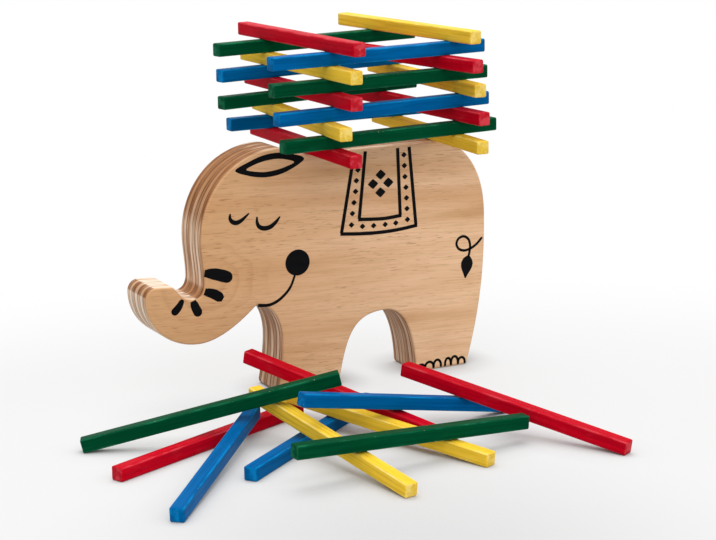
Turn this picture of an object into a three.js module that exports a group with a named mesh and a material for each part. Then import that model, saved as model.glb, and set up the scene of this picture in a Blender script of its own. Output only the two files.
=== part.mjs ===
// Wooden balance game: an elephant sawn from thick plywood, with painted square sticks
// stacked two by two across its back and more of them dropped in a pile before its feet.
// Millimetres, +Z up, +X towards the rump, -Y towards the printed face and the player.
import * as THREE from "three";

// The board that the elephant is sawn from.
const BOARD_THICKNESS = 23;
const ARRIS_RADIUS = 1.2;
const SOLE_ROUND = 2.2;

// Feet and belly arch, measured along X from the middle of the stance.
const FRONT_TOE = -50.1;
const FRONT_HEEL = -18.3;
const REAR_TOE = 22.1;
const REAR_HEEL = 50.8;
const ARCH_PEAK = 6;
const ARCH_HEIGHT = 32.6;

// Rump and head.
const RUMP_REACH = 60.5;
const RUMP_HEIGHT = 73;
const BACK_HEIGHT = 110.4;
const HEAD_RISE = 3.9;
const HEAD_RUN = 12.5;
const BROW_REACH = 86.3;
const BROW_HEIGHT = 75;

// Trunk, measured forward from the brow, then chin and throat.
const CREASE_TUCK = 1.1;
const CREASE_DEPTH = 6.9;
const CREASE_WIDTH = 5.2;
const TRUNK_LENGTH = 27.2;
const TRUNK_TOP = 57;
const TIP_LENGTH = 12.5;
const TIP_ROUND = 5.5;
const TIP_LIFT = 0.6;
const TRUNK_DIP = 1.9;
const TRUNK_CLEARANCE = 29;
const CHIN_REACH = 59.6;
const CHIN_HEIGHT = 43.4;
const THROAT_REACH = 47.4;
const THROAT_HEIGHT = 25;

// Sticks and how they are laid.
const STICK_LENGTH = 112;
const STICK_SECTION = 6;
const STICK_EASE = 0.8;
const STICK_END_EASE = 0.6;
const SEAT_GAP = 0.05;
const SEAT_MARGIN = 1;
const PILE_GAP = 0.3;
const CROSS_SPACING = 64;
const ALONG_SPACING = 64;

// Fineness of the curves, and how often a dropped stick is tried on its supports.
const OUTLINE_STEPS = 10;
const EASE_STEPS = 2;
const END_EASE_STEPS = 1;
const SETTLE_PASSES = 8;

const FINISHES = {
  plywood: { color: "#d2a578", roughness: 0.6, metalness: 0 },
  red: { color: "#be1428", roughness: 0.42, metalness: 0 },
  yellow: { color: "#e1b428", roughness: 0.42, metalness: 0 },
  green: { color: "#004b2d", roughness: 0.42, metalness: 0 },
  blue: { color: "#0055a5", roughness: 0.42, metalness: 0 },
};

// Hand-laid error of each stacked stick, in placing order: shift in X and in Y in stick widths,
// turn in degrees.
const STACK_SHIFTS = [
  [0.23, -0.45, -1.8],
  [0.53, -0.15, -3],
  [-0.43, -0.54, 4.5],
  [0.71, 0.12, -0.1],
  [-0.02, -0.42, -4.8],
  [0.07, 0.53, 3.2],
  [-0.87, -0.35, 5.5],
  [-0.81, -0.27, 9.1],
  [0.38, 0.13, -0.1],
  [1.07, 1.28, -2.3],
  [-0.87, 0.11, 4.1],
  [-0.68, 0.2, 9.2],
  [-0.13, -0.67, 0.7],
  [-1.57, -0.1, 8],
  [-1.23, -0.32, 5.4],
  [-0.97, -0.22, 8.3],
  [-0.19, -0.94, 1.9],
  [-0.6, 1.03, 4.7],
];
const CROSS_COLOURS = [["red", "yellow"], ["yellow", "red"]];
const ALONG_COLOURS = [["green", "blue"], ["blue", "green"]];

// Dropped sticks in the order they fell: colour, middle behind the front toe in X and in front of the
// printed face, both in stick lengths, and heading in degrees.
const DROPPED = [
  ["red", -0.506, 0.488, 23.4],
  ["blue", -0.15, 0.628, 36.8],
  ["blue", -0.621, 0.805, 50.3],
  ["yellow", -0.21, 0.876, -81.4],
  ["yellow", 0.077, 0.763, -66.5],
  ["red", 0.046, 0.528, -63.1],
  ["blue", 0.204, 0.737, 7.4],
  ["green", -0.507, 0.487, -22],
  ["green", 0.044, 1.061, 3.7],
  ["red", 0.552, 0.922, -62.3],
];

// Adds a smooth stretch to an outline. It leaves the last point at one heading and comes in to the
// next at another. Each handle is a share of the straight distance, and a longer one holds its heading
// further.
function flow(path, leave, hold, x, z, arrive, pull) {
  const from = path.currentPoint;
  const span = Math.hypot(x - from.x, z - from.y);
  const out = THREE.MathUtils.degToRad(leave);
  const into = THREE.MathUtils.degToRad(arrive);
  path.bezierCurveTo(
    from.x + hold * span * Math.cos(out),
    from.y + hold * span * Math.sin(out),
    x - pull * span * Math.cos(into),
    z - pull * span * Math.sin(into),
    x,
    z,
  );
}

// Adds one foot: round the toe corner, along the flat sole and up round the heel corner.
function sole(path, from, to) {
  path.quadraticCurveTo(from, 0, from + SOLE_ROUND, 0);
  path.lineTo(to - SOLE_ROUND, 0);
  path.quadraticCurveTo(to, 0, to, SOLE_ROUND);
}

// The elephant seen from its printed side, sawn in one run: belly arch, rear leg, rump, back, head,
// trunk, throat and front leg.
function elephantOutline() {
  const seat = (CROSS_SPACING + STICK_SECTION) / 2 + SEAT_MARGIN;
  const brow = -BROW_REACH;
  const crease = brow + CREASE_TUCK;
  const tip = brow - TRUNK_LENGTH;
  const tipTop = TRUNK_TOP + TIP_LIFT;
  const path = new THREE.Shape();
  path.moveTo(FRONT_HEEL, SOLE_ROUND);
  flow(path, 79, 0.575, ARCH_PEAK, ARCH_HEIGHT, 0, 0.4);
  flow(path, 0, 0.258, REAR_TOE, SOLE_ROUND, -87, 0.6);
  sole(path, REAR_TOE, REAR_HEEL);
  flow(path, 73, 0.48, RUMP_REACH, RUMP_HEIGHT, 90, 0.2);
  flow(path, 90, 0.633, seat, BACK_HEIGHT, 180, 0.15);
  path.lineTo(-seat, BACK_HEIGHT);
  flow(path, 180, 0.305, -seat - HEAD_RUN, BACK_HEIGHT + HEAD_RISE, 180, 0.42);
  flow(path, 180, 0.395, brow, BROW_HEIGHT, -90, 0.404);
  flow(path, -90, 0.333, crease, TRUNK_TOP, -90, 0.333);
  flow(path, -90, 0.435, crease - CREASE_WIDTH, TRUNK_TOP - CREASE_DEPTH, 180, 0.435);
  flow(path, 180, 0.543, tip + TIP_LENGTH, TRUNK_TOP, 180, 0.209);
  path.lineTo(tip + TIP_ROUND, tipTop);
  flow(path, 180, 0.424, tip, tipTop - TIP_ROUND, -90, 0.411);
  flow(path, -90, 0.411, brow - TRUNK_DIP, TRUNK_CLEARANCE, 0, 0.382);
  flow(path, 0, 0.286, -CHIN_REACH, CHIN_HEIGHT, 41, 0.381);
  flow(path, -4, 0.395, -THROAT_REACH, THROAT_HEIGHT, -90, 0.351);
  flow(path, -90, 0.392, FRONT_TOE, SOLE_ROUND, -100, 0.305);
  sole(path, FRONT_TOE, FRONT_HEEL);
  return path;
}

// A named piece with its own finish.
function piece(name, geometry, finish) {
  const mesh = new THREE.Mesh(geometry, new THREE.MeshStandardMaterial(FINISHES[finish]));
  mesh.name = name;
  return mesh;
}

// The elephant: its outline carried through the board, with the arrises rounded inside the outline.
function elephant() {
  const geometry = new THREE.ExtrudeGeometry(elephantOutline(), {
    depth: BOARD_THICKNESS - 2 * ARRIS_RADIUS,
    curveSegments: OUTLINE_STEPS,
    bevelSize: ARRIS_RADIUS,
    bevelThickness: ARRIS_RADIUS,
    bevelOffset: -ARRIS_RADIUS,
    bevelSegments: EASE_STEPS,
  });
  geometry.rotateX(Math.PI / 2);
  geometry.translate(0, BOARD_THICKNESS / 2 - ARRIS_RADIUS, 0);
  return piece("elephant", geometry, "plywood");
}

// A stick's square section with eased corners.
function stickSection() {
  const half = STICK_SECTION / 2;
  const flat = half - STICK_EASE;
  const section = new THREE.Shape();
  section.absarc(flat, flat, STICK_EASE, 0, Math.PI / 2);
  section.absarc(-flat, flat, STICK_EASE, Math.PI / 2, Math.PI);
  section.absarc(-flat, -flat, STICK_EASE, Math.PI, 1.5 * Math.PI);
  section.absarc(flat, -flat, STICK_EASE, 1.5 * Math.PI, 2 * Math.PI);
  return section;
}

// One stick, lying along X about its middle, with its end edges eased too.
function stick(name, colour) {
  const geometry = new THREE.ExtrudeGeometry(stickSection(), {
    depth: STICK_LENGTH - 2 * STICK_END_EASE,
    curveSegments: EASE_STEPS,
    bevelSize: STICK_END_EASE,
    bevelThickness: STICK_END_EASE,
    bevelOffset: -STICK_END_EASE,
    bevelSegments: END_EASE_STEPS,
  });
  geometry.translate(0, 0, STICK_END_EASE - STICK_LENGTH / 2);
  geometry.rotateY(Math.PI / 2);
  return piece(name, geometry, colour);
}

const twoDigits = (number) => String(number).padStart(2, "0");

// The stack: layers of two sticks, in turn across the back and along it, each layer on the one below.
function stack() {
  const group = new THREE.Group();
  STACK_SHIFTS.forEach(([shiftX, shiftY, turn], index) => {
    const layer = Math.floor(index / 2);
    const side = index % 2;
    const crosswise = layer % 2 === 0;
    const colours = (crosswise ? CROSS_COLOURS : ALONG_COLOURS)[Math.floor(layer / 2) % 2];
    const colour = colours[side];
    const laid = stick(`stack_stick_${twoDigits(index + 1)}_${colour}`, colour);
    const spread = side - 0.5;
    laid.position.set(
      shiftX * STICK_SECTION + (crosswise ? spread * CROSS_SPACING : 0),
      shiftY * STICK_SECTION + (crosswise ? 0 : spread * ALONG_SPACING),
      BACK_HEIGHT + SEAT_GAP + STICK_SECTION / 2 + layer * (STICK_SECTION + SEAT_GAP),
    );
    laid.rotation.z = THREE.MathUtils.degToRad(turn + (crosswise ? 90 : 0));
    group.add(laid);
  });
  return group;
}

// How far a place on the table lies along a dropped stick from its middle, seen from above.
function along(fallen, place) {
  return (place.x - fallen.x) * Math.cos(fallen.heading) + (place.y - fallen.y) * Math.sin(fallen.heading);
}

// The four corners of a dropped stick seen from above, counterclockwise.
function corners(fallen) {
  const end = (STICK_LENGTH / 2) * Math.cos(fallen.tilt);
  const side = STICK_SECTION / 2;
  const middle = new THREE.Vector2(fallen.x, fallen.y);
  const ring = [[-end, -side], [end, -side], [end, side], [-end, side]];
  return ring.map(([forth, aside]) => {
    const corner = new THREE.Vector2(middle.x + forth, middle.y + aside);
    return corner.rotateAround(middle, fallen.heading);
  });
}

// The corners of the patch where two dropped sticks overlap, seen from above: the upper stick cut back
// to each side of the lower one in turn. Nothing is left of it where they pass clear of each other.
function overlap(upper, lower) {
  let patch = corners(upper);
  const ring = corners(lower);
  ring.forEach((from, index) => {
    const side = ring[(index + 1) % ring.length].clone().sub(from);
    const inward = (place) => side.cross(place.clone().sub(from));
    const kept = [];
    patch.forEach((place, order) => {
      const next = patch[(order + 1) % patch.length];
      const here = inward(place);
      const there = inward(next);
      if (here >= 0) {
        kept.push(place);
      }
      if (here >= 0 !== there >= 0) {
        kept.push(place.clone().lerp(next, here / (here - there)));
      }
    });
    patch = kept;
  });
  return patch;
}

// Lets a stick settle on the floor and on the sticks that fell before it. It comes to rest on the two
// supports, one on each side of its middle, that hold its middle highest.
function settle(fallen, pile) {
  for (let pass = 0; pass < SETTLE_PASSES; pass += 1) {
    const end = (STICK_LENGTH / 2) * Math.cos(fallen.tilt);
    const floor = (STICK_SECTION / 2) * Math.cos(fallen.tilt);
    const supports = [{ at: -end, height: floor }, { at: end, height: floor }];
    for (const lower of pile) {
      const halves = STICK_SECTION / 2 / Math.cos(lower.tilt) + STICK_SECTION / 2 / Math.cos(fallen.tilt);
      for (const place of overlap(fallen, lower)) {
        const ridge = lower.z + along(lower, place) * Math.tan(lower.tilt);
        supports.push({ at: along(fallen, place), height: ridge + halves + PILE_GAP });
      }
    }
    let highest = -Infinity;
    for (const near of supports.filter((support) => support.at < 0)) {
      for (const far of supports.filter((support) => support.at >= 0)) {
        const slope = (far.height - near.height) / (far.at - near.at);
        const middle = near.height - slope * near.at;
        if (middle > highest) {
          highest = middle;
          fallen.z = middle;
          fallen.tilt = Math.atan(slope);
        }
      }
    }
  }
}

// The dropped pile, laid out from the front toe and the printed face.
function pile() {
  const group = new THREE.Group();
  const settled = [];
  DROPPED.forEach(([colour, behind, before, turn], index) => {
    const fallen = {
      x: FRONT_TOE + behind * STICK_LENGTH,
      y: -BOARD_THICKNESS / 2 - before * STICK_LENGTH,
      z: 0,
      heading: THREE.MathUtils.degToRad(turn),
      tilt: 0,
    };
    settle(fallen, settled);
    settled.push(fallen);
    const laid = stick(`loose_stick_${twoDigits(index + 1)}_${colour}`, colour);
    laid.position.set(fallen.x, fallen.y, fallen.z);
    laid.rotation.set(0, -fallen.tilt, fallen.heading, "ZYX");
    group.add(laid);
  });
  return group;
}

// The whole game, with its origin under the middle of everything on the table.
const game = new THREE.Group();
game.add(elephant(), stack(), pile());
const box = new THREE.Box3().setFromObject(game);
const middle = box.getCenter(new THREE.Vector3());
game.position.set(-middle.x, -middle.y, -box.min.z);

export default game;
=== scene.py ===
import bpy
import numpy as np
from mathutils import Matrix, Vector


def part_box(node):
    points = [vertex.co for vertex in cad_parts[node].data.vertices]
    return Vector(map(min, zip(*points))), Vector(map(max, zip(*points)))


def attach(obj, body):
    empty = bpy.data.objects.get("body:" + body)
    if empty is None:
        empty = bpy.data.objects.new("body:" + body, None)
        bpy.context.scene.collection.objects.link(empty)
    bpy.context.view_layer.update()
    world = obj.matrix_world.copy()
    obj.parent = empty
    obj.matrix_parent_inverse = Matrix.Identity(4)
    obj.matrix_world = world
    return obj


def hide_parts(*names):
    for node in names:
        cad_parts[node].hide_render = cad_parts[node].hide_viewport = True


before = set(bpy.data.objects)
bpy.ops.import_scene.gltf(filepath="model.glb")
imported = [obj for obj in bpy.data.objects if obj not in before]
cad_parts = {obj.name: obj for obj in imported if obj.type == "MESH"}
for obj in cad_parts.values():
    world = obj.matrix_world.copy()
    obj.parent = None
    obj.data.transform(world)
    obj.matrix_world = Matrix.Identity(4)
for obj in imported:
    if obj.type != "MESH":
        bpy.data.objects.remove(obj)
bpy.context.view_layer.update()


# The elephant: one board of seven-ply softwood plywood, sawn along a single outline.
# Its arrises are rounded over and sanded, so the cut edge shows every ply in turn, and the whole
# board is sealed with a clear matt lacquer. It stands free on its two feet.
MM = 0.001
BOARD_THICKNESS = 23 * MM
BOARD_PLIES = 7
ARRIS_RADIUS = 1.2 * MM
ARRIS_STEPS = 8
PLY_STEPS = 6
CURVE_STEPS = 80
SOLE_STEPS = 20
OUTLINE_POINTS = 960
GLUE_GROOVE = 0.05 * MM
GLUE_SPREAD = 0.08  # of a ply
END_GRAIN_SINK = 0.06 * MM
SINK_SPREAD = 0.15  # of a ply
SAWN_FROM = 0.6  # of the rounding of an arris, where the colour of the sawn edge begins

# The outline's own sizes are in millimetres, from the middle of the back and up from the table.
TRUNK_REACH = 113.5
BACK_HEIGHT = 110.4
BACK_HALF = 36
HEAD_HEIGHT = 114.3
FOOT_ROUNDING = 2.2
FRONT_TOE, FRONT_HEEL = -50.1, -18.3
REAR_TOE, REAR_HEEL = 22.1, 50.8

elephant_low, elephant_high = (np.array(corner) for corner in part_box("elephant"))
stance = np.array([
    elephant_low[0] + TRUNK_REACH * MM,
    (elephant_low[1] + elephant_high[1]) / 2,
    elephant_low[2],
])


def flow(start, leave, hold, end, arrive, pull):
    """A cubic curve in X and Z from start to end: the cubes and squares of t and 1 - t weigh the two
    ends and two handles. A handle is a share of the straight distance, set off along a heading."""
    start, end = np.array(start, float), np.array(end, float)
    span = np.hypot(*(end - start))
    out, into = np.radians(leave), np.radians(arrive)
    first = start + hold * span * np.array([np.cos(out), np.sin(out)])
    second = end - pull * span * np.array([np.cos(into), np.sin(into)])
    t = np.linspace(0, 1, CURVE_STEPS + 1)[:-1, None]
    return (
        (1 - t) ** 3 * start + 3 * t * (1 - t) ** 2 * first
        + 3 * t ** 2 * (1 - t) * second + t ** 3 * end)


def sole(toe, heel):
    """A foot in X and Z: a square-law corner, the flat sole, and a square-law corner up to the heel."""
    t = np.linspace(0, 1, SOLE_STEPS + 1)[:-1, None]
    corner = FOOT_ROUNDING * np.hstack([t ** 2, (1 - t) ** 2])
    turned = FOOT_ROUNDING * np.hstack([-(1 - t) ** 2, t ** 2])
    return np.vstack([np.array([toe, 0.0]) + corner, np.array([heel, 0.0]) + turned])


def walked(line):
    """The distance walked along a line of points, from 0 at the first: the running sum of its steps."""
    return np.concatenate([[0], np.cumsum(np.hypot(*np.diff(line, axis=0).T))])


def evenly(line, count, with_end):
    """A line of points cut again into count points at even distances along it."""
    along = walked(line)
    spots = np.linspace(0, along[-1], count, endpoint=with_end)
    return np.stack([np.interp(spots, along, line[:, axis]) for axis in (0, 1)], axis=1)


outline_runs = [
    flow((FRONT_HEEL, FOOT_ROUNDING), 79, 0.575, (6, 32.6), 0, 0.4),
    flow((6, 32.6), 0, 0.258, (REAR_TOE, FOOT_ROUNDING), -87, 0.6),
    sole(REAR_TOE, REAR_HEEL),
    flow((REAR_HEEL, FOOT_ROUNDING), 73, 0.48, (60.5, 73), 90, 0.2),
    flow((60.5, 73), 90, 0.633, (BACK_HALF, BACK_HEIGHT), 180, 0.15),
    flow((BACK_HALF, BACK_HEIGHT), 180, 0.33, (-BACK_HALF, BACK_HEIGHT), 180, 0.33),
    flow((-BACK_HALF, BACK_HEIGHT), 180, 0.305, (-48.5, HEAD_HEIGHT), 180, 0.42),
    flow((-48.5, HEAD_HEIGHT), 180, 0.395, (-86.3, 75), -90, 0.404),
    flow((-86.3, 75), -90, 0.333, (-85.2, 57), -90, 0.333),
    flow((-85.2, 57), -90, 0.435, (-90.4, 50.1), 180, 0.435),
    flow((-90.4, 50.1), 180, 0.543, (-101, 57), 180, 0.209),
    flow((-101, 57), 175.1, 0.33, (-108, 57.6), 175.1, 0.33),
    flow((-108, 57.6), 180, 0.424, (-TRUNK_REACH, 52.1), -90, 0.411),
    flow((-TRUNK_REACH, 52.1), -90, 0.411, (-88.2, 29), 0, 0.382),
    flow((-88.2, 29), 0, 0.286, (-59.6, 43.4), 41, 0.381),
    flow((-59.6, 43.4), -4, 0.395, (-47.4, 25), -90, 0.351),
    flow((-47.4, 25), -90, 0.392, (FRONT_TOE, FOOT_ROUNDING), -100, 0.305),
    sole(FRONT_TOE, FRONT_HEEL),
]
saw_line = np.vstack([*outline_runs, outline_runs[0][:1]]) * MM
outline = evenly(saw_line, OUTLINE_POINTS, with_end=False)
outline_length = walked(saw_line)[-1]


def sawn_board():
    """The board as a grid of outline point by place across the thickness. Each place has a depth and
    an inset along the outline's inward normal: a quarter circle at both arrises, and between them a
    shallow groove at each glue line and a sunk ply where its grain is cut across."""
    heading = np.roll(outline, -1, axis=0) - np.roll(outline, 1, axis=0)
    heading /= np.linalg.norm(heading, axis=1, keepdims=True)
    outward = np.stack([heading[:, 1], -heading[:, 0]], axis=1)
    steep = heading[:, 1] ** 2
    slant = np.clip(-2 * outward[:, 0] * outward[:, 1], 0, 1)
    turn = np.linspace(0, np.pi / 2, ARRIS_STEPS + 1)
    half = BOARD_THICKNESS / 2
    wall = np.linspace(-half + ARRIS_RADIUS, half - ARRIS_RADIUS, BOARD_PLIES * PLY_STEPS + 1)[1:-1]
    depth = np.concatenate([
        -half + ARRIS_RADIUS * (1 - np.cos(turn)),
        wall,
        half - ARRIS_RADIUS * (1 - np.cos(turn[::-1])),
    ])
    rounding = np.zeros_like(depth)
    rounding[:turn.size] = ARRIS_RADIUS * (1 - np.sin(turn))
    rounding[-turn.size:] = ARRIS_RADIUS * (1 - np.sin(turn[::-1]))
    plies = (depth + half) / (BOARD_THICKNESS / BOARD_PLIES)
    from_glue = np.abs(plies - np.round(plies))
    groove = GLUE_GROOVE * np.exp(-(from_glue / GLUE_SPREAD) ** 2)
    cut_across = np.abs(np.floor(plies)[None, :] % 2 - steep[:, None])
    sunk = END_GRAIN_SINK * cut_across * (1 - np.exp(-(from_glue / SINK_SPREAD) ** 2))[None, :]
    on_wall = np.clip((ARRIS_RADIUS - rounding) / ARRIS_RADIUS, 0, 1)
    inset = rounding[None, :] + on_wall * (groove[None, :] + sunk)
    flat = outline[:, None, :] - outward[:, None, :] * inset[:, :, None]
    across = np.broadcast_to(depth, flat.shape[:2])
    points = np.stack([flat[..., 0], across, flat[..., 1]], axis=-1) + stance
    round_trip = 2 * np.pi * np.arange(len(outline)) / len(outline)
    ring = outline_length / (2 * np.pi)
    run = np.stack(np.broadcast_arrays(
        ring * np.cos(round_trip)[:, None], ring * np.sin(round_trip)[:, None], depth[None, :]), axis=-1)
    edge = np.clip((on_wall - SAWN_FROM) / (1 - SAWN_FROM), 0, 1)
    return points, {
        "ply": np.broadcast_to(plies, across.shape),
        "edge": np.broadcast_to(edge, across.shape),
        "steep": np.broadcast_to(steep[:, None], across.shape),
        "slant": np.broadcast_to(slant[:, None], across.shape),
        "run": run,
    }


def tube_faces(count, places):
    """Faces of a solid whose points are a grid, count round it by places from end to end: four corner
    numbers for each cell of the grid, which closes on itself, and one flat face across each end."""
    first = np.arange(count)[:, None] * places
    here = first + np.arange(places - 1)
    there = np.roll(first, -1, axis=0) + np.arange(places - 1)
    sides = np.stack([here, there, there + 1, here + 1], axis=-1).reshape(-1, 4)
    end = first.ravel()
    return [*sides.tolist(), end[::-1].tolist(), (end + places - 1).tolist()]


def make_piece(name, points, faces, material, body, traits=None, smooth=True):
    """A piece as one mesh at the origin, with its place in its points. Traits are named values on the
    points that the finish reads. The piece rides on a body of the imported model."""
    mesh = bpy.data.meshes.new(name)
    mesh.from_pydata(np.asarray(points).reshape(-1, 3).tolist(), [], faces)
    for trait, values in (traits or {}).items():
        values = np.ascontiguousarray(values, dtype=np.float32)
        kind, field = ("FLOAT_VECTOR", "vector") if values.ndim == 3 else ("FLOAT", "value")
        mesh.attributes.new(trait, kind, "POINT").data.foreach_set(field, values.ravel())
    mesh.polygons.foreach_set("use_smooth", np.full(len(mesh.polygons), smooth))
    mesh.materials.append(material)
    mesh.update()
    made = bpy.data.objects.new(name, mesh)
    bpy.context.collection.objects.link(made)
    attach(made, body)
    return made


def fill(tree, node, feeds):
    """Fill a node's inputs, by name or number, with a plain value or with another node's output."""
    for key, value in feeds.items():
        if isinstance(value, bpy.types.NodeSocket):
            tree.links.new(value, node.inputs[key])
        else:
            node.inputs[key].default_value = value


def shade(tree, kind, feeds=None, **settings):
    """One shader node, with its settings on the node and its inputs filled."""
    made = tree.nodes.new(kind)
    for key, value in settings.items():
        setattr(made, key, value)
    fill(tree, made, feeds or {})
    return made


def new_finish(name):
    """A material with its node tree and the shader that its colour, shine and relief go into."""
    material = bpy.data.materials.new(name)
    material.use_nodes = True
    tree = material.node_tree
    return material, tree, tree.nodes["Principled BSDF"]


def stretched_noise(tree, place, stretch, detail=3, distortion=0.0):
    """Noise on coordinates that are multiplied by stretch, so a small figure makes long streaks."""
    scaled = shade(tree, "ShaderNodeMapping", {"Vector": place, "Scale": stretch})
    noise = shade(tree, "ShaderNodeTexNoise", {
        "Vector": scaled.outputs[0], "Scale": 1.0, "Detail": detail, "Distortion": distortion})
    return noise.outputs["Fac"]


def sums(tree, operation, *values):
    """A Math node on plain values and outputs."""
    return shade(tree, "ShaderNodeMath", dict(enumerate(values)), operation=operation).outputs[0]


def ranged(tree, value, low, high, to_low=0.0, to_high=1.0):
    """A value carried from one range to another, slowly at both ends."""
    return shade(
        tree, "ShaderNodeMapRange", {0: value, 1: low, 2: high, 3: to_low, 4: to_high},
        interpolation_type="SMOOTHSTEP").outputs[0]


def seen(red, green, blue):
    """A colour as it looks on a screen, 0 to 255, as the linear colour that a shader takes: the
    screen's power law of 2.4, with a straight foot for the darkest part."""
    share = np.array([red, green, blue]) / 255
    linear = np.where(share > 0.04045, ((share + 0.055) / 1.055) ** 2.4, share / 12.92)
    return (*linear.tolist(), 1.0)


def ramp(tree, value, *stops):
    """A colour ramp through stops of place and colour."""
    made = shade(tree, "ShaderNodeValToRGB", {"Fac": value})
    while len(made.color_ramp.elements) < len(stops):
        made.color_ramp.elements.new(0.5)
    for element, (place, colour) in zip(made.color_ramp.elements, stops):
        element.position = place
        element.color = colour
    return made.outputs["Color"]


def blended(tree, share, first, second):
    """Two colours mixed by a share, each a plain colour or an output."""
    return shade(tree, "ShaderNodeMix", {0: share, 6: first, 7: second}, data_type="RGBA").outputs[2]


def relief(tree, height, strength, depth):
    """The way a surface faces where a height from 0 to 1 stands up from it by a depth."""
    return shade(tree, "ShaderNodeBump", {
        "Strength": strength, "Distance": depth, "Height": height}).outputs[0]


def trait_of(tree, name, output="Fac"):
    """A named value that a piece carries on its points."""
    return shade(tree, "ShaderNodeAttribute", attribute_name=name).outputs[output]


GRAIN_TURN = -0.05
GRAIN_SHIFT = (-2.9 * MM, 0, 1.8 * MM)
# Where the face turns browner towards the head: partly heartwood, partly painted shade on that end.
HEARTWOOD_SHADE_FROM, HEARTWOOD_SHADE_TO = 60 * MM, -60 * MM
STREAK_HEIGHT = 102 * MM
STREAK_WANDER = 22 * MM
STREAK_CORE, STREAK_RIM = 0.2 * MM, 6 * MM
OVAL_HEART = (-83 * MM, -BOARD_THICKNESS / 2, 57 * MM)
OVAL_LENGTH = 1.4
OVAL_RINGS = 180.0  # in a metre
OVAL_CORE, OVAL_RIM = 10 * MM, 28 * MM
# Where the sawn edge turns paler at the trunk: partly sapwood, partly a painted highlight on the trunk's
# top.
SAPWOOD_HIGHLIGHT_FROM, SAPWOOD_HIGHLIGHT_TO = -30 * MM, -60 * MM
PLY_WAVER = 0.2


def veneer_colour(tree, board_place, place, fine):
    """The colour of the board's faces. Slow level bands go through a ramp. That is then mixed towards
    a browner tone at the head, partly heartwood and partly painted shade on that end of the face,
    fine late wood, one wandering streak under the back, oval rings by the trunk, and short dark
    flecks that lie thinly everywhere and gather in places."""
    along, _, height = shade(tree, "ShaderNodeSeparateXYZ", {0: place}).outputs
    bands = stretched_noise(tree, place, (6, 20, 80), detail=4, distortion=0.5)
    veneer = ramp(
        tree, bands,
        (0.3, seen(209, 162, 118)), (0.44, seen(229, 186, 145)), (0.6, seen(237, 197, 158)),
        (0.74, seen(218, 172, 129)))
    # Heartwood and painted shade: the face is painted browner towards the head, partly for the shade on
    # that end.
    heartwood_and_shade = ranged(tree, along, HEARTWOOD_SHADE_TO, HEARTWOOD_SHADE_FROM, 0.75, 0.0)
    veneer = blended(tree, heartwood_and_shade, veneer, seen(210, 160, 110))
    veneer = blended(tree, ranged(tree, fine, 0.42, 0.72, 0.0, 0.3), veneer, seen(186, 138, 94))

    wander = stretched_noise(tree, place, (9, 9, 30), detail=2)
    streak_height = sums(tree, "MULTIPLY_ADD", wander, STREAK_WANDER, height)
    off_streak = sums(tree, "ABSOLUTE", sums(tree, "SUBTRACT", streak_height, STREAK_HEIGHT))
    streak = ranged(tree, off_streak, STREAK_CORE, STREAK_RIM, 0.32, 0.0)
    veneer = blended(tree, streak, veneer, seen(200, 142, 92))

    oval = shade(tree, "ShaderNodeMapping", {
        "Vector": board_place, "Location": (stance + OVAL_HEART).tolist(),
        "Scale": (OVAL_LENGTH, 1.0, 1.0)}, vector_type="TEXTURE").outputs[0]
    from_heart = shade(tree, "ShaderNodeVectorMath", {0: oval}, operation="LENGTH").outputs["Value"]
    wave = stretched_noise(tree, place, (26, 26, 60), detail=2)
    ring = sums(tree, "MULTIPLY_ADD", wave, 1.7, sums(tree, "MULTIPLY", from_heart, OVAL_RINGS))
    ring = ranged(tree, sums(tree, "FRACT", ring), 0.45, 1.0)
    figure = sums(tree, "MULTIPLY", ring, ranged(tree, from_heart, OVAL_CORE, OVAL_RIM, 0.3, 0.0))
    veneer = blended(tree, figure, veneer, seen(186, 134, 89))

    flecks = stretched_noise(tree, place, (170, 170, 2300), detail=1)
    gathered = ranged(tree, stretched_noise(tree, place, (16, 16, 45), detail=1), 0.4, 0.6, 0.4, 1.0)
    flecks = sums(tree, "MULTIPLY", gathered, ranged(tree, flecks, 0.6, 0.76, 0.0, 0.58))
    return blended(tree, flecks, veneer, seen(140, 88, 48))


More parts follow.
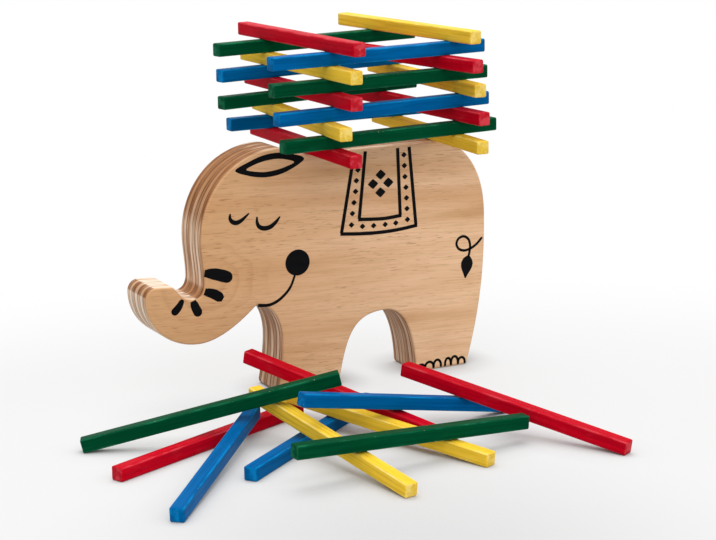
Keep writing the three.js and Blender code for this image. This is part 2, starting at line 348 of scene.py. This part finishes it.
def sawn_colour(tree, place, threads):
    """The colour of the sawn edge. A ply's tone goes from pale long grain to brown end grain as the
    edge turns, with threads and patches along the edge, and a paler edge at the trunk, partly sapwood
    and partly a painted highlight on the trunk's top. Slanting stretches are browner, every second ply
    most of all, and the glue lines are thin and dark."""
    run = trait_of(tree, "run", "Vector")
    slant = trait_of(tree, "slant")
    waver = stretched_noise(tree, run, (60, 60, 60), detail=2)
    waver = sums(tree, "MULTIPLY_ADD", waver, PLY_WAVER, -PLY_WAVER / 2)
    ply = sums(tree, "ADD", trait_of(tree, "ply"), waver)
    crosswise = sums(tree, "MODULO", sums(tree, "FLOOR", ply), 2.0)
    end_grain = sums(tree, "ABSOLUTE", sums(tree, "SUBTRACT", crosswise, trait_of(tree, "steep")))
    patches = stretched_noise(tree, run, (24, 24, 420), detail=3)
    tone = sums(tree, "MULTIPLY_ADD", sums(tree, "POWER", end_grain, 0.5), 0.42, 0.24)
    tone = sums(tree, "ADD", tone, ranged(tree, slant, 0.45, 1.0, 0.0, 0.3))
    tone = sums(tree, "ADD", tone, ranged(tree, threads, 0.3, 0.7, -0.36, 0.4))
    tone = sums(tree, "ADD", tone, ranged(tree, patches, 0.32, 0.68, -0.2, 0.22))
    along = shade(tree, "ShaderNodeSeparateXYZ", {0: place}).outputs["X"]
    # Sapwood and painted highlight: the sawn edge is painted paler towards the trunk's end.
    sapwood_and_highlight = ranged(tree, along, SAPWOOD_HIGHLIGHT_TO, SAPWOOD_HIGHLIGHT_FROM, 0.44, 0.0)
    sawn = ramp(
        tree, sums(tree, "SUBTRACT", tone, sapwood_and_highlight),
        (0.0, seen(246, 225, 203)), (0.35, seen(215, 177, 143)), (0.68, seen(184, 136, 98)),
        (1.0, seen(142, 90, 52)))

    slanted = ranged(tree, slant, 0.2, 0.6)
    sawn = blended(tree, sums(tree, "MULTIPLY", slanted, 0.55), sawn, seen(190, 136, 82))
    browned = sums(tree, "MULTIPLY", slanted, ranged(tree, threads, 0.3, 0.62, 0.4, 1.0))
    browned = sums(tree, "MULTIPLY", browned, sums(tree, "MULTIPLY_ADD", crosswise, -0.7, 1.0))
    sawn = blended(tree, browned, sawn, seen(124, 70, 30))
    inner_ply = sums(tree, "MINIMUM", sums(tree, "MAXIMUM", ply, 0.5), BOARD_PLIES - 0.5)
    to_glue = sums(tree, "PINGPONG", inner_ply, 0.5)
    return blended(tree, ranged(tree, to_glue, 0.02, 0.14, 0.8, 0.0), sawn, seen(98, 65, 46))


def plywood_finish():
    """Lacquered plywood: the veneer's colour on the faces gives way to the sawn edge's colour round
    the arris. The grain climbs a little across the board, so its coordinates are turned about Y and
    shifted back to the middle. The late wood stands up a little, and so do the edge's threads."""
    material, tree, board = new_finish("lacquered_plywood")
    board_place = shade(tree, "ShaderNodeTexCoord").outputs["Object"]
    place = shade(tree, "ShaderNodeMapping", {
        "Vector": board_place, "Rotation": (0, GRAIN_TURN, 0), "Location": GRAIN_SHIFT}).outputs[0]
    fine = stretched_noise(tree, place, (60, 60, 1500), detail=5)
    threads = stretched_noise(tree, trait_of(tree, "run", "Vector"), (55, 55, 2300), detail=3)
    edge = trait_of(tree, "edge")
    veneer = veneer_colour(tree, board_place, place, fine)
    sawn = sawn_colour(tree, place, threads)
    height = sums(tree, "ADD", fine, sums(tree, "MULTIPLY", threads, edge))
    fill(tree, board, {
        "Base Color": blended(tree, edge, veneer, sawn),
        "Specular IOR Level": 0.1,
        "Roughness": ranged(tree, fine, 0.2, 0.8, 0.46, 0.62),
        "Normal": relief(tree, height, 0.18, 0.3 * MM),
    })
    return material


board_points, board_traits = sawn_board()
board_faces = tube_faces(*board_points.shape[:2])
elephant = make_piece(
    "elephant_board", board_points, board_faces, plywood_finish(), "elephant", board_traits)
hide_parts("elephant")


# The elephant's print: ear, closed eyes, cheek, smile, trunk creases, saddle blanket, tail and toes.
# Each line is one pass of black ink through a screen, a film far thinner than paper on the front
# face, and the grain of the veneer shows through it a little. Its places are in the outline's units.
INK_FILM = 0.03 * MM
INK_SUNK = 0.02 * MM
INK_SLOPE = 0.06  # of a line's width, at each side of the film
INK_STEPS = 64
INK_POINT = 0.01
RING_STEPS = 160
PATCH_STEPS = 32
PATCH_POINT = 0.004  # of a patch's height


def ink_finish():
    """Black screen ink, a little greyer and duller where the grain below takes up more of it."""
    material, tree, ink = new_finish("screen_ink")
    place = shade(tree, "ShaderNodeTexCoord").outputs["Object"]
    soak = stretched_noise(tree, place, (60, 60, 1500), detail=4)
    mottle = stretched_noise(tree, place, (700, 700, 700), detail=2)
    fill(tree, ink, {
        "Base Color": ramp(
            tree, soak, (0.35, seen(4, 5, 8)), (0.62, seen(9, 9, 11)), (0.8, seen(24, 21, 20))),
        "Specular IOR Level": 0.06,
        "Roughness": ranged(tree, mottle, 0.3, 0.7, 0.5, 0.68),
        "Normal": relief(tree, soak, 0.15, 0.2 * MM),
    })
    return material


def through(points, count, closed=False):
    """A smooth line through a few points: each stretch between two of them is the cubic that passes
    its ends with slopes of half the step from neighbour to neighbour."""
    points = np.asarray(points, float)
    if closed:
        around = np.vstack([points[-1:], points, points[:2]])
    else:
        around = np.vstack([2 * points[:1] - points[1:2], points, 2 * points[-1:] - points[-2:-1]])
    place = np.linspace(0, len(around) - 3, count, endpoint=not closed)
    piece = np.minimum(place.astype(int), len(around) - 4)
    t = (place - piece)[:, None]
    before, first, second, after = (around[piece + step] for step in range(4))
    return 0.5 * (
        2 * first + (second - before) * t + (2 * before - 5 * first + 4 * second - after) * t ** 2
        + (3 * first - before - 3 * second + after) * t ** 3)


def film(left, right, closed=False):
    """An ink film between two rails, as a grid of line point by section place. The section goes up
    from under one rail, over the film, down under the other, and back below the face."""
    share = np.array([0.0, INK_SLOPE, 1 - INK_SLOPE, 1.0])
    level = np.array([-INK_SUNK, INK_FILM, INK_FILM, -INK_SUNK])
    flat = left[:, None, :] + (right - left)[:, None, :] * share[None, :, None]
    depth = np.broadcast_to(-BOARD_THICKNESS / 2 - level, flat.shape[:2])
    points = np.stack([flat[..., 0] * MM, depth, flat[..., 1] * MM], axis=-1) + stance
    count, places = points.shape[:2]
    row = np.arange(count if closed else count - 1)[:, None]
    column = np.arange(places)[None, :]
    beside = (column + 1) % places
    ahead = (row + 1) % count
    faces = np.stack([
        row * places + column, row * places + beside, ahead * places + beside,
        ahead * places + column], axis=-1).reshape(-1, 4)
    if not closed:
        faces = np.vstack([faces, column[:, ::-1], column + (count - 1) * places])
    return points.reshape(-1, 3), faces


def stroke(points, widths, start=0.0, end=0.0, smooth=True):
    """A pen line through points. Its widths are spaced evenly along it and joined by straight change,
    and at each end it closes to a share of its width by a quarter circle."""
    if smooth:
        line = through(points, INK_STEPS)
    else:
        line = evenly(np.array(points, float), INK_STEPS, with_end=True)
    heading = np.gradient(line, axis=0)
    heading /= np.linalg.norm(heading, axis=1, keepdims=True)
    beside = np.stack([-heading[:, 1], heading[:, 0]], axis=1)
    along = walked(line)
    reach = np.interp(along / along[-1], np.linspace(0, 1, len(widths)), widths) / 2
    near = np.sqrt(1 - np.clip(1 - along / reach[0], 0, 1) ** 2)
    far = np.sqrt(1 - np.clip(1 - (along[-1] - along) / reach[-1], 0, 1) ** 2)
    taper = np.maximum(near, start) * np.maximum(far, end)
    half = np.maximum(reach * taper, INK_POINT)[:, None]
    return film(line - beside * half, line + beside * half)


def patch(centre, wide, tall, power):
    """A filled mark whose rim is a power curve: power 1 is a diamond, power 2 an ellipse. The two
    rails are its lower and its upper half."""
    side = np.sin(np.linspace(-1, 1, PATCH_STEPS + 1) * np.pi / 2)
    height = np.maximum((1 - np.abs(side) ** power) ** (1 / power), PATCH_POINT)
    middle = np.array(centre, float)
    low = middle + np.stack([wide * side, -tall * height], axis=1)
    high = middle + np.stack([wide * side, tall * height], axis=1)
    return film(low, high)


def band(outer, inner):
    """A closed ring of ink between two closed lines."""
    return film(through(outer, RING_STEPS, True), through(inner, RING_STEPS, True), True)


def print_piece(name, marks):
    """Several films joined as one printed piece on the front face: all their points in a row, and each
    film's corner numbers moved on by the number of points before it."""
    points, faces = zip(*marks)
    firsts = np.cumsum([0] + [len(mark) for mark in points[:-1]])
    joined = np.vstack([corners + first for corners, first in zip(faces, firsts)])
    make_piece(name, np.vstack(points), joined.tolist(), ink, "elephant", smooth=False)


ink = ink_finish()
print_piece("printed_ear", [band(
    [(-68.7, 106.0), (-62.0, 109.4), (-54.5, 111.8), (-47.0, 112.3), (-40.0, 110.9), (-34.3, 108.4),
     (-40.0, 104.6), (-47.0, 102.2), (-54.5, 101.6), (-62.0, 103.0)],
    [(-63.0, 106.0), (-59.0, 107.8), (-54.0, 109.0), (-48.5, 109.4), (-43.5, 108.7), (-39.7, 107.2),
     (-43.5, 105.7), (-48.5, 104.6), (-54.0, 104.2), (-59.0, 104.8)])])
print_piece("printed_eyes", [
    stroke(
        [(-71.6, 87.0), (-71.8, 84.9), (-70.9, 83.3), (-69.0, 82.5), (-66.7, 83.1), (-64.2, 84.8),
         (-62.3, 86.3)],
        [0.8, 1.7, 2.2, 2.3, 1.8, 1.3, 0.6]),
    stroke(
        [(-58.6, 84.3), (-58.6, 81.5), (-57.6, 79.5), (-55.2, 78.5), (-52.1, 78.9), (-49.3, 80.8),
         (-47.1, 83.2)],
        [0.8, 1.7, 2.2, 2.4, 2.2, 1.7, 0.7]),
])
print_piece("printed_cheek", [patch((-39.0, 60.8), 6.15, 6.4, 2)])
print_piece("printed_smile", [stroke(
    [(-40.4, 55.2), (-43.2, 49.4), (-48.0, 45.0), (-53.2, 42.9), (-59.4, 43.2)],
    [1.2, 1.5, 1.6], end=0.8)])
print_piece("printed_trunk_creases", [
    stroke([(-85.0, 61.4), (-80.0, 60.4), (-75.5, 58.9), (-71.6, 57.2)], [3.6, 5.6, 6.0, 5.2], start=0.9),
    stroke([(-85.2, 53.0), (-80.5, 51.2), (-76.5, 48.4)], [3.7, 4.9, 4.8], start=0.9, end=0.6),
    stroke([(-91.0, 49.4), (-89.7, 46.0), (-87.8, 42.2)], [3.7, 4.4, 4.6], start=0.8),
    stroke([(-95.8, 50.7), (-97.9, 47.4), (-101.0, 44.5)], [2.3, 3.6, 4.0], start=0.7),
])

BLANKET_SIDE = 1.85
BLANKET_HEM = 1.8
blanket_borders = [
    ([(-9.0, 108.8), (-16.3, 71.9)],
     [(-16.9, 71.6), (-7.0, 70.6), (3.0, 70.1), (13.0, 70.3), (23.5, 71.3)],
     [(22.8, 71.4), (19.6, 108.8)]),
    ([(-3.3, 108.8), (-7.0, 77.7)],
     [(-7.6, 77.4), (0.0, 76.7), (7.0, 76.4), (15.2, 76.9)],
     [(14.5, 77.1), (13.5, 108.8)]),
]
blanket_diamonds = [
    (16.8, 105.3), (17.0, 100.2), (17.2, 95.0), (17.7, 89.9), (17.9, 84.9), (18.1, 79.8), (18.3, 74.6),
    (-6.5, 105.4), (-7.3, 100.5), (-8.2, 95.6), (-8.7, 90.6), (-9.6, 85.5), (-10.5, 80.5),
    (-11.1, 75.2), (-5.4, 73.9), (0.4, 73.6), (6.5, 73.5), (12.1, 73.6),
]
blanket_centre = [(4.5, 97.2), (0.4, 93.2), (8.4, 93.1), (4.2, 88.9)]
blanket_lines = [
    line for left, hem, right in blanket_borders for line in (
        stroke(left, [BLANKET_SIDE], 1, 1, smooth=False),
        stroke(hem, [BLANKET_HEM], 1, 1),
        stroke(right, [BLANKET_SIDE], 1, 1, smooth=False))]
print_piece("printed_blanket", [
    *blanket_lines,
    *[patch(spot, 1.45, 1.4, 1.15) for spot in blanket_diamonds],
    *[patch(spot, 2.7, 2.5, 1.1) for spot in blanket_centre],
])
print_piece("printed_tail", [
    stroke(
        [(59.1, 61.8), (56.0, 58.8), (52.6, 56.9), (49.0, 56.2), (45.9, 57.4), (44.7, 60.0),
         (46.0, 62.4), (48.8, 63.1), (51.3, 61.4), (52.2, 58.4), (51.9, 55.5), (51.2, 52.6)], [1.35]),
    stroke([(51.3, 53.6), (50.4, 49.6), (49.4, 42.6)], [1.4, 5.4, 6.9, 6.5, 4.8, 2.5, 0.6]),
])

TOE_LINE = 1.35
TOE_FOOT = 0.5
TOE_SQUARENESS = 0.7
FOOT_TO_FOOT = 69.5
toe_rows = [
    ([22.9, 27.0, 31.7, 35.8], [2.7, 3.5, 3.9]),
    ([38.0, 41.3, 45.2, 49.0], [3.9, 4.3, 3.3]),
]


def toe(start, end, rise):
    """A toe nail as an arch from start to end: the cosine of a half turn goes across, and its sine to
    a power below 1 goes up, which squares the arch a little."""
    turn = np.linspace(0, np.pi, 9)
    across = (start + end) / 2 - (end - start) / 2 * np.cos(turn)
    return stroke(np.stack([across, TOE_FOOT + rise * np.sin(turn) ** TOE_SQUARENESS], axis=1), [TOE_LINE])


print_piece("printed_toes", [
    toe(start - shift, end - shift, rise)
    for feet, rises in toe_rows for shift in (0, FOOT_TO_FOOT)
    for start, end, rise in zip(feet[:-1], feet[1:], rises)])


# The sticks: square softwood strip, cut to one length, tumbled so that the edges are eased, then
# dyed and dipped in satin paint. They lie loose: crosswise in pairs on the back, or as they fell.
STICK_LENGTH = 112 * MM
STICK_SECTION = 6 * MM
STICK_EASE = 0.8 * MM
END_EASE = 0.6 * MM
CORNER_STEPS = 6
FLAT_STEPS = 3
END_STEPS = 5
LENGTH_STEPS = 48
PLANE_WAVE = 0.02 * MM
PLANE_TURNS = 3.1
GRAIN_APART = 4  # metres, so that no two sticks are cut from the same grain
FIRST_DRAW = 11  # seed of the first stick
PAINT_DEPTH = 0.62
BARE_WOOD = seen(226, 196, 158)
# Each paint has a plain colour and a paler worn one, which also serves as a painted highlight along the
# eased rims.
PAINT_COLOURS = {
    "red": (seen(199, 5, 32), seen(226, 80, 90)),
    "yellow": (seen(252, 207, 60), seen(253, 228, 138)),
    "green": (seen(0, 72, 43), seen(34, 120, 84)),
    "blue": (seen(0, 95, 159), seen(16, 141, 208)),
}


def paint_finish(name, plain, wear_and_highlight):
    """Satin paint over softwood: long streaks of grain darken it and clouds lighten it, the sawn ends
    are painted deeper, partly paint soaked up by the end grain and partly painted shade on the end
    faces, the eased rims are painted paler, partly wear and partly a painted highlight along the
    edges, and small chips show the wood."""
    material, tree, paint = new_finish(name)
    place = trait_of(tree, "stick_place", "Vector")
    rim = trait_of(tree, "rim")
    grain = stretched_noise(tree, place, (28, 900, 900), detail=4)
    cloud = stretched_noise(tree, place, (90, 260, 260), detail=3)
    speck = stretched_noise(tree, place, (900, 1400, 1400), detail=2)
    deep = tuple(PAINT_DEPTH * part for part in plain[:3]) + (1.0,)
    colour = blended(tree, ranged(tree, grain, 0.36, 0.7, 0.0, 0.6), plain, deep)
    colour = blended(tree, ranged(tree, cloud, 0.5, 0.8, 0.0, 0.12), colour, wear_and_highlight)
    # Painted shade: the sawn ends are painted deeper, partly end grain soaking up paint and partly the
    # shade on the end faces.
    soaked_and_shaded = sums(tree, "MULTIPLY", trait_of(tree, "tip"), ranged(tree, speck, 0.3, 0.7, 0.2, 0.65))
    colour = blended(tree, soaked_and_shaded, colour, deep)
    # Wear and painted highlight: the eased rims are painted paler, partly for the gloss along the edges.
    rubbed_and_highlight = sums(tree, "MULTIPLY", rim, ranged(tree, cloud, 0.42, 0.62, 0.15, 0.7))
    colour = blended(tree, rubbed_and_highlight, colour, wear_and_highlight)
    chip = sums(tree, "MULTIPLY", rim, ranged(tree, speck, 0.71, 0.76, 0.0, 0.5))
    height = sums(tree, "ADD", grain, sums(tree, "MULTIPLY", speck, 0.35))
    fill(tree, paint, {
        "Base Color": blended(tree, chip, colour, BARE_WOOD),
        "Specular IOR Level": 0.012,
        "Roughness": ranged(tree, cloud, 0.3, 0.75, 0.28, 0.42),
        "Normal": relief(tree, height, 0.3, 0.3 * MM),
    })
    return material


def strip_section():
    """The eased square as corner centres, directions out of them, and how far each point is round an
    edge: four quarter circles joined by flats, where a flat's points slide between two centres."""
    flat = STICK_SECTION / 2 - STICK_EASE
    turn = np.linspace(0, np.pi / 2, CORNER_STEPS)
    slide = np.linspace(0, 1, FLAT_STEPS + 2)[1:-1]
    quarter = np.arange(4)[:, None] * np.pi / 2
    corners = np.array([(1, 1), (-1, 1), (-1, -1), (1, -1)], float) * flat
    following = np.roll(corners, -1, axis=0)
    round_centres = np.repeat(corners[:, None, :], CORNER_STEPS, axis=1)
    flat_centres = corners[:, None, :] + (following - corners)[:, None, :] * slide[None, :, None]
    centres = np.concatenate([round_centres, flat_centres], axis=1).reshape(-1, 2)
    flat_angles = np.repeat(quarter + np.pi / 2, FLAT_STEPS, axis=1)
    angles = np.concatenate([quarter + turn, flat_angles], axis=1).ravel()
    rims = np.tile(np.concatenate([np.sin(2 * turn), np.zeros(FLAT_STEPS)]), 4)
    return centres, np.stack([np.cos(angles), np.sin(angles)], axis=1), rims


def strip(node, draw):
    """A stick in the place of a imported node. Its line is the long direction of the node's points. The
    eased square is carried along it, drawn in at both ends by a quarter circle, with a slow wave of a
    few hundredths of a millimetre where it was planed."""
    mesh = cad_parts[node].data
    spots = np.empty(len(mesh.vertices) * 3)
    mesh.vertices.foreach_get("co", spots)
    spots = spots.reshape(-1, 3)
    middle = (spots.min(axis=0) + spots.max(axis=0)) / 2
    line = np.linalg.svd(spots - middle, full_matrices=False)[2][0]
    across = np.cross((0, 0, 1), line)
    across /= np.linalg.norm(across)
    rise = np.cross(line, across)

    half = STICK_LENGTH / 2
    turn = np.linspace(0, np.pi / 2, END_STEPS + 1)
    shaft = np.linspace(-half + END_EASE, half - END_EASE, LENGTH_STEPS + 1)[1:-1]
    along = np.concatenate([
        -half + END_EASE * (1 - np.cos(turn)), shaft, half - END_EASE * (1 - np.cos(turn[::-1]))])
    inset = np.zeros_like(along)
    inset[:turn.size] = END_EASE * (1 - np.sin(turn))
    inset[-turn.size:] = END_EASE * (1 - np.sin(turn[::-1]))
    centres, directions, rims = strip_section()
    phase = draw.uniform(0, 2 * np.pi, 2)[0]
    wave = PLANE_WAVE * (np.sin(PLANE_TURNS * np.pi * along / half + phase) - 1) / 2
    radius = STICK_EASE - inset + wave
    section = centres[:, None, :] + directions[:, None, :] * radius[None, :, None]
    lengths = np.broadcast_to(along, section.shape[:2])
    local = np.concatenate([lengths[..., None], section], axis=-1)
    points = middle + local @ np.stack([line, across, rise])
    round_end = np.clip(inset / END_EASE * 1.6, 0, 1)
    rim = np.maximum(rims[:, None], round_end[None, :] * 0.9)
    tip = np.zeros(lengths.shape)
    tip[:, [0, -1]] = 1
    return points, {
        "stick_place": local + draw.uniform(-GRAIN_APART, GRAIN_APART, 3), "rim": rim, "tip": tip}


paints = {
    colour: paint_finish(colour + "_paint_satin", plain, wear_and_highlight)
    for colour, (plain, wear_and_highlight) in PAINT_COLOURS.items()}
for number, node in enumerate(sorted(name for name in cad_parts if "_stick_" in name)):
    colour = node.rsplit("_", 1)[1]
    points, traits = strip(node, np.random.default_rng(number + FIRST_DRAW))
    faces = tube_faces(*points.shape[:2])
    painted = make_piece("painted_" + node, points, faces, paints[colour], node, traits)
    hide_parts(node)


# The table: a seamless white sweep of matt card, wide enough that its far edge never shows.
# It keeps the soft shadows of the feet and sticks, and a painted contact shade darkens it further
# where they stand on it. Away from the toy, and nowhere close under it, the camera sees it as the
# pure white of an overlit backdrop, which sheds no light on the toy.
TABLE_REACH = 9.0
CARD_FRONT = (-0.05, -0.17, 0.0)
NEAR_WHITE = 0.7
NEAR_REACH = 0.16
FAR_START, FAR_REACH = 0.27, 0.46
CONTACT_SHADE_REACH = 18 * MM


def seen_directly(tree):
    """1 for what the camera sees, by itself, in a reflection or through glass, and 0 for shed light:
    the greatest of three outputs of a Light Path node."""
    path = shade(tree, "ShaderNodeLightPath").outputs
    reflected = sums(tree, "MAXIMUM", path["Is Camera Ray"], path["Is Glossy Ray"])
    return sums(tree, "MAXIMUM", reflected, path["Is Transmission Ray"])


def card_finish():
    """White card with a fine tooth. A share of it turns from lit card to plain white light: it grows
    with the distance from the front in two steps, and falls with the square of how closed in the card
    is by what stands on it, which paints a contact shade round the feet and sticks."""
    material, tree, card = new_finish("white_card")
    place = shade(tree, "ShaderNodeTexCoord").outputs["Object"]
    tooth = stretched_noise(tree, place, (900, 900, 900), detail=2)
    lit = ramp(tree, tooth, (0.3, seen(196, 196, 196)), (0.7, seen(199, 199, 199)))
    from_front = shade(
        tree, "ShaderNodeVectorMath", {0: place, 1: CARD_FRONT}, operation="DISTANCE").outputs["Value"]
    near = ranged(tree, from_front, 0.0, NEAR_REACH, 0.0, NEAR_WHITE)
    far = ranged(tree, from_front, FAR_START, FAR_REACH, 0.0, 1 - NEAR_WHITE)
    overlit = sums(tree, "MULTIPLY", seen_directly(tree), sums(tree, "ADD", near, far))
    # Painted shade: where feet and sticks close the card in, less of it turns white, so it is painted
    # darker round their contacts.
    open_sky = shade(
        tree, "ShaderNodeAmbientOcclusion", {"Distance": CONTACT_SHADE_REACH}, samples=16).outputs["AO"]
    overlit = sums(tree, "MULTIPLY", overlit, sums(tree, "POWER", open_sky, 2.0))
    fill(tree, card, {
        "Base Color": blended(tree, overlit, lit, (0, 0, 0, 1)),
        "Emission Color": (1, 1, 1, 1),
        "Emission Strength": overlit,
        "Specular IOR Level": 0.0,
        "Roughness": 0.8,
    })
    return material


table_corners = TABLE_REACH * np.array([(-1, -1, 0), (1, -1, 0), (1, 1, 0), (-1, 1, 0)])
table_mesh = bpy.data.meshes.new("table")
table_mesh.from_pydata(table_corners.tolist(), [], [(0, 1, 2, 3)])
table_mesh.materials.append(card_finish())
table = bpy.data.objects.new("table", table_mesh)
bpy.context.collection.objects.link(table)


# The light: a broad soft panel overhead and a little behind, one as strong in front on the left and
# one half as strong on the right, with an even white room around them. The room is dimmer for the
# light it sheds than for the camera and for reflections, which see it as white.
TOY_MIDDLE = (0, 0, 0.05)
ROOM_SHED = 0.38

world = bpy.data.worlds.new("white_room")
bpy.context.scene.world = world
world.use_nodes = True
room_tree = world.node_tree
fill(room_tree, room_tree.nodes["Background"], {
    "Color": (1, 1, 1, 1),
    "Strength": sums(room_tree, "MULTIPLY_ADD", seen_directly(room_tree), 1 - ROOM_SHED, ROOM_SHED),
})


def panel(name, place, size, power):
    """A square soft light at a place. It looks at the middle of the toy: its back is the straight line
    from there, its side is level, and its top is square to both."""
    light = bpy.data.lights.new(name, "AREA")
    light.size = size
    light.energy = power
    made = bpy.data.objects.new(name, light)
    back = np.array(place) - np.array(TOY_MIDDLE)
    back /= np.linalg.norm(back)
    side = np.cross((0, 0, 1), back)
    side /= np.linalg.norm(side)
    turned = Matrix(np.stack([side, np.cross(back, side), back], axis=1).tolist()).to_4x4()
    turned.translation = place
    made.matrix_world = turned
    bpy.context.collection.objects.link(made)


panel("top_panel", (0.1, 0.45, 1.5), 1.5, 22)
panel("key_panel", (-0.7, -1.5, 1.3), 1.8, 22)
panel("fill_panel", (1.4, -1.2, 1.2), 1.8, 11)


# The camera: a long lens at the picture's viewing place, in front on the left and a little above.
# Its place, angles and length were fitted to the feet and the corners of the sticks.
LENS_PIXELS = 1952.2
FRAME_WIDTH = 716
CAMERA_ANGLES = (-27.324, 13.024, -0.952)
CAMERA_FROM_STANCE = (-0.41245, -0.79410, 0.25733)

yaw, pitch, roll = np.radians(CAMERA_ANGLES)
back = np.array([np.sin(yaw) * np.cos(pitch), -np.cos(yaw) * np.cos(pitch), np.sin(pitch)])
level = np.array([np.cos(yaw), np.sin(yaw), 0])
upward = np.cross(back, level)
right = np.cos(roll) * level + np.sin(roll) * upward
up = np.cos(roll) * upward - np.sin(roll) * level
camera_data = bpy.data.cameras.new("camera")
camera_data.sensor_fit = "HORIZONTAL"
camera_data.lens = LENS_PIXELS / FRAME_WIDTH * camera_data.sensor_width
camera = bpy.data.objects.new("camera", camera_data)
pose = Matrix(np.stack([right, up, back], axis=1).tolist()).to_4x4()
pose.translation = (stance + CAMERA_FROM_STANCE).tolist()
camera.matrix_world = pose
bpy.context.collection.objects.link(camera)
bpy.context.scene.camera = camera
bpy.context.scene.view_settings.view_transform = "Standard"
